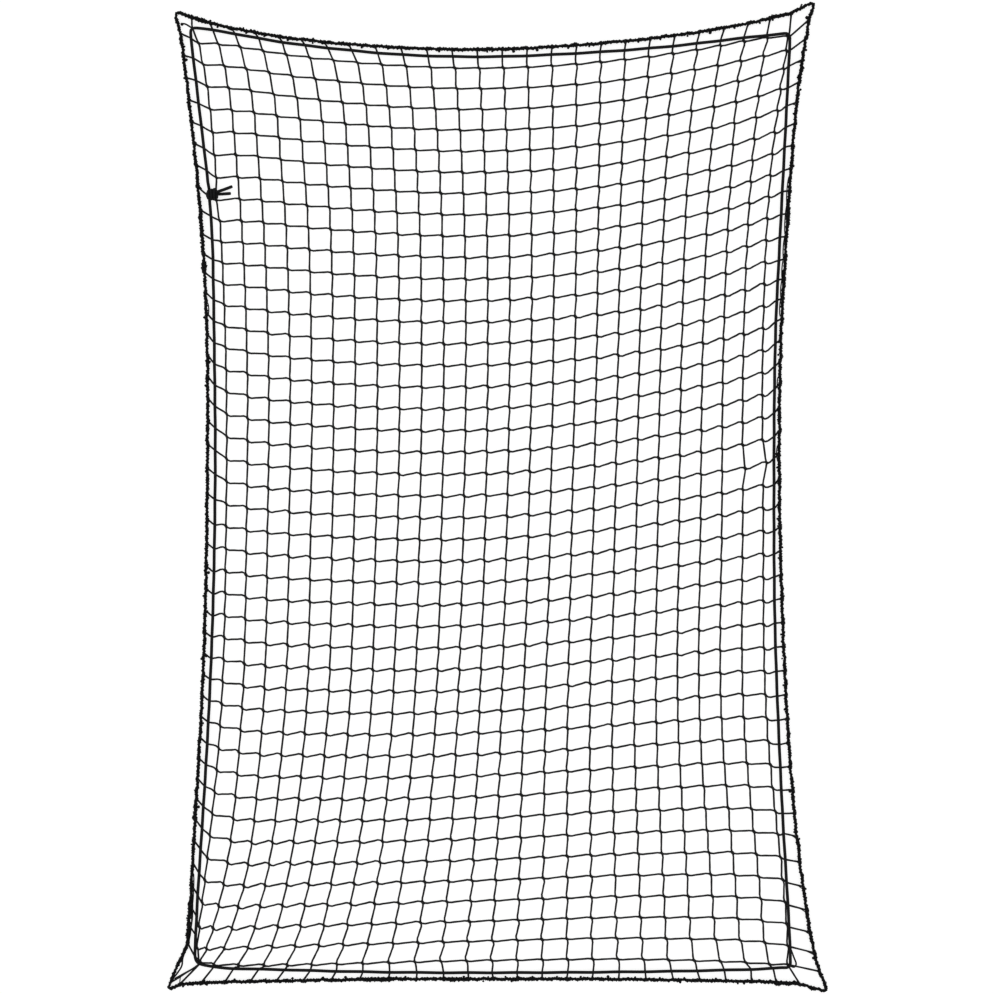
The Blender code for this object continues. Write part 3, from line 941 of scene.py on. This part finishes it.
@dataclass
class MeshJoints:
    """The joints of the mesh, where two strands are twisted together for a few millimetres."""

    lie: Lie
    half_length: float = 4.6 * MM
    radius: float = 2.45 * MM
    end_share: float = 0.5
    size_spread: Plan = (0.88, 1.12)
    lean: float = radians(44)
    lean_spread: float = 0.2
    rings: int = 8
    sides: int = 8
    oval: float = 0.17
    oval_turn: float = radians(200)
    middle: float = 2.7 * MM
    seed: int = 11

    def build(self, finish: Material) -> Object:
        """Make all the joints as one piece.

        Args:
            finish: its finish.

        Returns:
            The piece.
        """
        chance = np.random.default_rng(self.seed)
        cords = Sweep(self.sides)
        joints = self.lie.joints
        for (c, r), joint in joints.items():
            across = joints[min(c + 1, self.lie.lengthwise - 1), r] - joints[max(c - 1, 0), r]
            down = joints[c, min(r + 1, self.lie.across - 1)] - joints[c, max(r - 1, 0)]
            lean = self.lean + chance.uniform(-self.lean_spread, self.lean_spread)
            run = (across.normalized() * cos(lean) + down.normalized() * sin(lean)).normalized()
            size = chance.uniform(*self.size_spread)
            line, radii = [], []
            for k in range(self.rings):
                s = 2 * k / (self.rings - 1) - 1
                line.append((joint + run * s * self.half_length * size).to_3d() + UP * self.middle)
                radii.append(self.radius * size * (self.end_share + (1 - self.end_share) * sqrt(1 - s * s)))
            cords.add(line, radii, oval=self.oval, oval_turn=self.oval_turn)
        return cords.build("mesh_joints", finish)


# ---------------- the edge rope
@dataclass
class EdgeRope:
    """The three-strand edge rope with its binding, the strands' hitches, nubs and strays."""

    lie: Lie
    radius: float = 3.4 * MM
    strands: int = 3
    strand_share: float = 0.47
    strand_spare: float = 1.06
    lay: float = 22.0 * MM
    step: float = 2.9 * MM
    thread: float = 1.4 * MM
    bedding: float = 0.2
    spare: float = 0.45 * MM
    wrap: float = 9.0 * MM
    wrap_points: int = 14
    wrap_wander: float = 1.3
    corner_share: float = 0.82
    corner_reach: float = 12.0 * MM
    half_mesh: float = 22.0 * MM
    lumps: float = 0.10
    grain: float = 0.05
    thinnest: float = 0.72
    wobble: float = 0.5 * MM
    waves: int = 24
    hitch_twine: float = 1.9 * MM
    hitch_turns: float = 1.75
    hitch_points: int = 9
    hitch_sides: int = 5
    hitch_pitch: float = 1.1
    hitch_bedding: float = 0.1
    hitch_start: Plan = (-1.0, 0.4)
    fork_from: Plan = (0.28, 0.42)
    fork_step: float = 0.08
    fork_side_step: float = 0.13
    fork_pulls: Plan = (0.9, 0.6)
    fork_rise: float = 0.6 * MM
    fork_steps: tuple[float, ...] = (0.0, 0.33, 0.66, 1.0)
    nub_size: float = 4.6 * MM
    large_nub: float = 6.6 * MM
    nub_spread: Plan = (0.85, 1.15)
    nub_out: float = 0.22
    nub_turn: float = 0.28
    nub_thread: float = 0.21
    nub_leans: Plan = (0.0, 1.9)
    nub_tilt: float = 0.7
    nub_points: int = 9
    bight_twine: float = 2.2 * MM
    bight_reach: float = 5.4 * MM
    bight_points: int = 9
    bight_fullness: float = 0.6
    stray_twine: float = 3.0 * MM
    stray_height: float = 1.05
    seed: int = 19
    middle: Line = field(default_factory=list)
    shares: list[float] = field(default_factory=list)

    def height(self, share: float) -> float:
        """Height of the rope's middle where it rests on the floor with a share of its thickness."""
        return (self.radius + self.thread * self.bedding) * share + self.thread / 2 + self.spare

    def uneven(self, kind: Uneven, count: int) -> np.ndarray:
        """Make a smooth uneven run of numbers round the rope.

        Args:
            kind: what it is for.
            count: how many numbers.

        Returns:
            The numbers, with a mean of 0 and a spread of 1.
        """
        number, slowest, quickest = kind.value
        chance = np.random.default_rng((self.seed, number))
        turn = np.arange(count) * 2 * pi / count
        rates = chance.integers(slowest, quickest, self.waves)
        waves = [np.sin(rate * turn + chance.uniform(0, 2 * pi)) for rate in rates]
        return np.sum(waves, axis=0) * sqrt(2 / len(waves))

    def trace(self) -> None:
        """Work out the rope's middle all round, evenly spaced, and its thickness share at each point."""
        points = evenly(self.lie.rope_line(), self.step, closed=True)
        n = len(points)
        lumps, grain, sway = (self.uneven(kind, n) for kind in (Uneven.LUMPS, Uneven.GRAIN, Uneven.WOBBLE))
        swells = [
            (self.lie.edge(side, Cord.ROPE, strand), reach * self.half_mesh, more)
            for side, rows in SWELLS.items()
            for strand, reach, more in rows
        ]
        corners = [place(rope) for rope, _ in CORNERS]
        for k, point in enumerate(points):
            share = max(self.thinnest, 1.0 + self.lumps * lumps[k] + self.grain * grain[k])
            share += sum(more * exp(-(((point - at).length / reach) ** 2)) for at, reach, more in swells)
            near = min((point - corner).length for corner in corners)
            share *= 1 - (1 - self.corner_share) * exp(-((near / self.corner_reach) ** 2))
            run = points[(k + 1) % n] - points[k - 1]
            plan = point + crosswise(run.normalized()) * self.wobble * float(sway[k])
            self.middle.append(plan.to_3d() + UP * self.height(share))
            self.shares.append(share)

    def wound(self, reach: float, phases: Sequence[float], per_step: int = 1) -> tuple[Line, Line]:
        """Wind a line round the rope.

        Args:
            reach: distance of the line from the rope's middle, for a share of 1.
            phases: how far round the line has come at each point and at the first again, in radians.
            per_step: points for each step of the rope.

        Returns:
            The line's points, and its directions away from the rope's middle.
        """
        middle, shares, n = self.middle, self.shares, len(self.middle)
        places, outwards = [], []
        for k in range(n * per_step):
            i, share = divmod(k, per_step)
            share /= per_step
            here, there = middle[i], middle[(i + 1) % n]
            side = UP.cross((there - middle[i - 1]).normalized()).normalized()
            angle = phases[i] * (1 - share) + phases[i + 1] * share
            out = side * cos(angle) + UP * sin(angle)
            thick = shares[i] * (1 - share) + shares[(i + 1) % n] * share
            places.append(here.lerp(there, share) + out * reach * thick)
            outwards.append(out)
        return places, outwards

    def build_strands(self, finish: Material) -> Object:
        """Make the rope's strands as one piece.

        Args:
            finish: its finish.

        Returns:
            The piece.
        """
        cords = Sweep()
        n = len(self.middle)
        turns = round(n * self.step / self.lay)
        thick = self.radius * self.strand_share
        for k in range(self.strands):
            phases = [2 * pi * (k / self.strands + turns * i / n) for i in range(n + 1)]
            places, outwards = self.wound(self.radius - thick, phases)
            radii = [thick * share * self.strand_spare for share in self.shares]
            cords.add(places, radii, closed=True, outwards=outwards)
        return cords.build("edge_rope_strands", finish)

    def build_binding(self, finish: Material) -> Object:
        """Make the thread that is wound round the rope, with its loose bights.

        Args:
            finish: its finish.

        Returns:
            The piece.
        """
        cords = Sweep()
        n = len(self.middle)
        turns = round(n * self.step / self.wrap)
        per_step = max(1, round(self.wrap_points * self.step / self.wrap))
        wander = self.uneven(Uneven.WANDER, n)
        phases = [2 * pi * turns * i / n + self.wrap_wander * wander[i % n] for i in range(n + 1)]
        places, outwards = self.wound(self.radius + self.thread * self.bedding, phases, per_step)
        cords.add(places, self.thread / 2, closed=True, outwards=outwards)
        for side, bights in BIGHTS.items():
            for start, end in bights:
                line = []
                for t in np.linspace(0.0, 1.0, self.bight_points):
                    bulge = (self.bight_reach - self.radius) * sin(pi * t) ** self.bight_fullness
                    line.append(self.beside(side, start + (end - start) * float(t), self.radius + bulge))
                cords.add(line, self.bight_twine / 2)
        return cords.build("edge_binding", finish)

    def beside(self, side: Side, strand: float, stand_off: float) -> Vector:
        """Find a place beside the rope.

        Args:
            side: the side of the net.
            strand: the strand's number.
            stand_off: distance from the rope's middle towards the elastic.

        Returns:
            The place, as high as the rope's middle.
        """
        rope, cord, before, after = (
            self.lie.edge(side, line, strand + step)
            for line, step in ((Cord.ROPE, 0), (Cord.ELASTIC, 0), (Cord.ROPE, -0.1), (Cord.ROPE, 0.1))
        )
        across = crosswise(after - before).normalized()
        inwards = across * copysign(1.0, across.dot(cord - rope))
        return (rope + inwards * stand_off).to_3d() + UP * self.height(1.0)

    def build_hitches(self, finish: Material) -> Object:
        """Make the hitches and forks with which the strands' ends are made fast round the rope.

        Args:
            finish: its finish.

        Returns:
            The piece.
        """
        chance = np.random.default_rng(self.seed + 1)
        cords = Sweep(self.hitch_sides)
        for side in Side:
            count = self.lie.lengthwise if side in (Side.TOP, Side.BOTTOM) else self.lie.across
            for strand in range(count):
                end, cord = (self.lie.edge(side, line, strand) for line in Cord)
                self.add_hitch(cords, end, cord, chance)
                self.add_fork(cords, side, strand, end, cord, chance)
        return cords.build("end_hitches", finish)

    def add_hitch(self, cords: Sweep, end: Vector, cord: Vector, chance: Chance) -> None:
        """Add the turns of a strand's end round the rope.

        Args:
            cords: what they are added to.
            end, cord: where the strand meets the rope and the elastic.
            chance: what draws their lean and their start.
        """
        n = len(self.middle)
        k = min(range(n), key=lambda i: (self.middle[i].to_2d() - end).length_squared)
        run = (self.middle[(k + 1) % n] - self.middle[k - 1]).normalized()
        out = crosswise(run.to_2d()).to_3d()
        out *= copysign(1.0, out.to_2d().dot(cord - end))
        advance = self.hitch_twine * self.hitch_pitch * copysign(1.0, chance.uniform(-1, 1))
        reach = self.radius * self.shares[k] + self.hitch_twine * self.hitch_bedding
        steps = round(self.hitch_points * self.hitch_turns)
        first = chance.uniform(*self.hitch_start)
        line, outwards = [], []
        for q in range(steps + 1):
            angle = first + 2 * pi * self.hitch_turns * q / steps
            outwards.append(out * cos(angle) + UP * sin(angle))
            shift = run * advance * (q / steps - 0.5) * self.hitch_turns
            line.append(self.middle[k] + shift + outwards[-1] * reach)
        cords.add(line, self.hitch_twine / 2, outwards=outwards)

    def add_fork(
        self, cords: Sweep, side: Side, strand: int, end: Vector, cord: Vector, chance: Chance
    ) -> None:
        """Add the short second leg that a strand's end has beside the rope.

        Args:
            cords: what it is added to.
            side, strand: the side of the net and the strand's number.
            end, cord: where the strand meets the rope and the elastic.
            chance: what draws its place.
        """
        sideways = copysign(self.fork_step, chance.uniform(-1, 1))
        step = {Side.LEFT: -self.fork_side_step, Side.RIGHT: self.fork_side_step}.get(side, sideways)
        on_rope = min(max(strand + step, min(EDGES[side])), max(EDGES[side]))
        beside = self.lie.edge(side, Cord.ROPE, on_rope)
        start = end.lerp(cord, chance.uniform(*self.fork_from))
        leave, arrive = (end - start) * self.fork_pulls[0], (beside - start) * self.fork_pulls[1]
        line = []
        for t in self.fork_steps:
            plan = bend(start, leave, beside, arrive, t)
            line.append(plan.to_3d() + UP * (self.height(1.0) + self.fork_rise * sin(pi * t)))
        cords.add(line, self.hitch_twine / 2)

    def build_nubs(self, finish: Material) -> Object:
        """Make the small knots of the binding's ends, which sit on the rope's sides.

        Args:
            finish: its finish.

        Returns:
            The piece.
        """
        chance = np.random.default_rng(self.seed + 2)
        cords = Sweep()
        kinds = (1.0, self.nub_size), (-1.0, self.nub_size), (1.0, self.large_nub)
        for side, rows in NUBS.items():
            for strands, (way, most) in zip(rows, kinds):
                for strand in strands:
                    size = most * chance.uniform(*self.nub_spread)
                    centre = self.beside(side, strand, way * (self.radius + size * self.nub_out))
                    self.add_nub(cords, centre, size, chance.uniform(0, pi))
        return cords.build("binding_nubs", finish)

    def add_nub(self, cords: Sweep, centre: Vector, size: float, heading: float) -> None:
        """Add one knot: two small turns of thread that cross.

        Args:
            cords: what it is added to.
            centre: its middle.
            size: how wide it is.
            heading: which way its first turn faces, in radians.
        """
        for lean in self.nub_leans:
            spin = Matrix.Rotation(heading + lean, 3, "Z")
            spin @= Matrix.Rotation(self.nub_tilt + lean / 2, 3, "X")
            angles = [2 * pi * q / self.nub_points for q in range(self.nub_points)]
            outwards = [spin @ Vector((cos(angle), sin(angle), 0.0)) for angle in angles]
            line = [centre + away * size * self.nub_turn for away in outwards]
            cords.add(line, size * self.nub_thread, closed=True, outwards=outwards)

    def build_strays(self, finish: Material) -> Object:
        """Make the loose bights and ends beside the rope.

        Args:
            finish: its finish.

        Returns:
            The piece.
        """
        cords = Sweep()
        radius = self.stray_twine / 2
        for places in STRAYS.values():
            plan = through([place(at) for at in places])
            cords.add([p.to_3d() + UP * radius * self.stray_height for p in plan], radius)
        return cords.build("loose_strays", finish)


# ---------------- the elastic
@dataclass
class ElasticCord:
    """The elastic draw cord, woven through the outermost meshes, and its knot."""

    lie: Lie
    thickness: float = 5.9 * MM
    twine: float = 3.2 * MM
    clearance: float = 0.2 * MM
    sides: int = 12
    step: float = 4.5 * MM
    knot_centre: tuple[float, float, float] = (-586.5 * MM, 623.0 * MM, 11.6 * MM)
    knot_entry: tuple[float, float, float] = (-6.0 * MM, 8.0 * MM, -4.0 * MM)
    knot_wide: float = 8.8 * MM
    knot_high: float = 7.4 * MM
    knot_half: float = 9.0 * MM
    knot_core: float = 3.1 * MM
    # Places along the barrel, in halves of its length, with how far out of its middle an end runs there.
    knot_in: tuple[Plan, ...] = ((-0.9, 1.1), (0.0, 1.0), (1.0, 1.3))
    knot_out: tuple[Plan, ...] = ((-1.0, 1.3), (0.0, 1.0), (1.1, 0.9))
    knot_turns: float = 1.5
    knot_heading: float = radians(14)
    knot_samples: int = 24
    knot_step: float = 1.7 * MM
    tail_ends: Pair = ((-546.0, 640.5), (-549.0, 626.0))
    tail_steps: tuple[float, ...] = (0.3, 0.65, 1.0)
    tail_droop: float = 1.6
    tail_tip: float = 0.8

    def build_run(self, finish: Material) -> Object:
        """Make the cord's long run, with both its ends inside the knot.

        Args:
            finish: its finish.

        Returns:
            The piece.
        """
        cords = Sweep(self.sides)
        over = self.lie.cord_line(self.thickness / 2, self.twine + self.clearance)
        line = [self.entry(1.0)] + evenly(over, self.step) + [self.entry(-1.0)]
        cords.add(line, self.thickness / 2)
        return cords.build("elastic_run", finish)

    def entry(self, sign: float) -> Vector:
        """Find where the cord enters the knot, from above for 1 and from below for -1."""
        x, y, z = self.knot_entry
        return Vector(self.knot_centre) + Vector((x, y * sign, z))

    def winding(self, sign: float) -> Line:
        """List one end's way through the knot, from its standing part to its free tail.

        The end runs through the barrel's middle, turns back round it for one and a half turns, and
        leaves through the middle again.

        Args:
            sign: 1 for the end that comes from above, -1 for the one from below.

        Returns:
            The points.
        """
        core = self.knot_core
        first = -pi / 4 if sign > 0 else 3 * pi / 4

        def barrel(along: float, wide: float, high: float, angle: float) -> Vector:
            """Find a point of the barrel, by its halves along, its reach and its angle round."""
            spot = Vector((self.knot_half * along, wide * cos(angle), high * sin(angle)))
            return Vector(self.knot_centre) + Matrix.Rotation(self.knot_heading, 3, "Z") @ spot

        knots = [self.entry(sign)]
        knots += [barrel(along, core * share, core * share, first) for along, share in self.knot_in]
        for s in np.linspace(0.0, 1.0, self.knot_samples + 1).tolist():
            angle = first + 2 * pi * self.knot_turns * s
            knots.append(barrel(1 - 2 * s, self.knot_wide, self.knot_high, angle))
        leave = first + pi / 2
        knots += [barrel(along, core * share, core * share, leave) for along, share in self.knot_out]
        end = place(self.tail_ends[0 if sign > 0 else 1]).to_3d() + UP * self.thickness / 2
        away = knots[-1]
        for t in self.tail_steps:
            knots.append(away.lerp(end, t))
            knots[-1].z = end.z + (away.z - end.z) * (1 - t) ** self.tail_droop
        return through(knots)

    def build_knot(self, finish: Material) -> Object:
        """Make the knot with both its tails.

        Args:
            finish: its finish.

        Returns:
            The piece.
        """
        cords = Sweep(self.sides)
        for sign in (1.0, -1.0):
            line = evenly(self.winding(sign), self.knot_step)
            radii = [self.thickness / 2] * len(line)
            radii[-1] *= self.tail_tip
            cords.add(line, radii, outwards=carried(line))
        return cords.build("elastic_knot_tied", finish)


# ---------------- the studio
@dataclass
class Studio:
    """The pale floor, the soft light and the camera."""

    square: tuple[Plan, ...] = ((-1, -1), (1, -1), (1, 1), (-1, 1))
    floor_size: float = 60.0
    floor_tone: float = 0.16
    floor_glow: float = 0.84
    frame_width: float = 994 * 2.06 * MM
    lens: float = 85.0
    sensor: float = 36.0
    sky: float = 0.8
    lamp_out: float = 3.2
    lamp_height: float = 5.0
    lamp_size: float = 6.0
    lamp_power: float = 80.0
    aim: Plan = (-1.03 * MM, 1.03 * MM)
    farthest: float = 200.0
    gamma: float = 0.65

    def floor(self) -> None:
        """Lay the floor under the net: a pale light table, so that the net throws no dark shade."""
        half = self.floor_size / 2
        mesh = bpy.data.meshes.new("floor")
        mesh.from_pydata([(x * half, y * half, 0.0) for x, y in self.square], [], [(0, 1, 2, 3)])
        paper = bpy.data.materials.new("floor_paper")
        paper.use_nodes = True
        surface = {
            "Base Color": (self.floor_tone, self.floor_tone, self.floor_tone, 1.0),
            "Roughness": 0.9,
            "Specular IOR Level": 0.1,
            "Emission Color": (1.0, 1.0, 1.0, 1.0),
            "Emission Strength": self.floor_glow,
        }
        NodeSheet(paper.node_tree).feed(paper.node_tree.nodes["Principled BSDF"], surface)
        mesh.materials.append(paper)
        floor = put("floor", mesh)

    def light(self) -> None:
        """Light the net evenly from a pale sky and four broad lamps."""
        world = bpy.data.worlds.new("studio")
        world.use_nodes = True
        pale = {"Color": (1.0, 1.0, 1.0, 1.0), "Strength": self.sky}
        NodeSheet(world.node_tree).feed(world.node_tree.nodes["Background"], pale)
        bpy.context.scene.world = world
        for k, (x, y) in enumerate(self.square):
            lamp = bpy.data.lights.new(f"lamp_{k}", "AREA")
            lamp.shape = "DISK"
            lamp.size = self.lamp_size
            lamp.energy = self.lamp_power
            holder = put(f"lamp_{k}", lamp)
            holder.location = (x * self.lamp_out, y * self.lamp_out, self.lamp_height)
            holder.rotation_euler = (-holder.location).to_track_quat("-Z", "Y").to_euler()

    def camera(self) -> None:
        """Hang the camera straight above the middle of the net."""
        lens = bpy.data.cameras.new("camera")
        lens.type = "PERSP"
        lens.lens = self.lens
        lens.sensor_width = self.sensor
        lens.sensor_fit = "HORIZONTAL"
        lens.clip_end = self.farthest
        holder = put("camera", lens)
        holder.location = (*self.aim, self.frame_width * self.lens / self.sensor)
        bpy.context.scene.camera = holder

    def build(self) -> None:
        """Set the whole studio up."""
        self.floor()
        self.light()
        self.camera()
        view = bpy.context.scene.view_settings
        view.view_transform = "Standard"
        view.gamma = self.gamma


# ---------------- putting it together
def settle(piece: Object, slot: str, *nodes: str) -> Object:
    """Fix a piece to the net's body, and hide the solids that it stands for.

    Args:
        piece: the piece.
        slot: its finish slot; not used.
        nodes: the solids' names.

    Returns:
        The piece.
    """
    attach(piece, "root")
    if nodes:
        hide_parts(*nodes)
    LOG.info("%s: %d faces", piece.name, len(piece.data.polygons))
    return piece


def main() -> None:
    """Build every piece in order."""
    logging.basicConfig(level=logging.INFO, format="%(name)s %(message)s")
    Studio().build()
    yarn_lay, wear = yarn_lay_group(), wear_group()
    finishes = (NETTING_TWINE, BINDING_TWINE, ROPE_STRAND, ELASTIC_SLEEVE)
    twine, binding, rope_strand, sleeve = (finish.material(yarn_lay, wear) for finish in finishes)

    lie = Lie()
    lie.trace()
    rope = EdgeRope(lie)
    rope.trace()
    settle(rope.build_strands(rope_strand), "edge_rope", "edge_rope")
    settle(rope.build_binding(binding), "edge_rope")
    settle(rope.build_nubs(binding), "edge_rope")
    hitches = settle(rope.build_hitches(twine), "netting_twine")
    strays = settle(rope.build_strays(twine), "netting_twine")

    netting = Netting(lie, rope.height(1.0))
    net = settle(netting.build(twine), "netting_twine", "net")
    joints = settle(MeshJoints(lie).build(twine), "netting_twine")

    elastic = ElasticCord(lie)
    settle(elastic.build_run(sleeve), "elastic_cord", "elastic")
    settle(elastic.build_knot(sleeve), "elastic_cord", "elastic_knot")


if __name__ == "__main__":
    main()
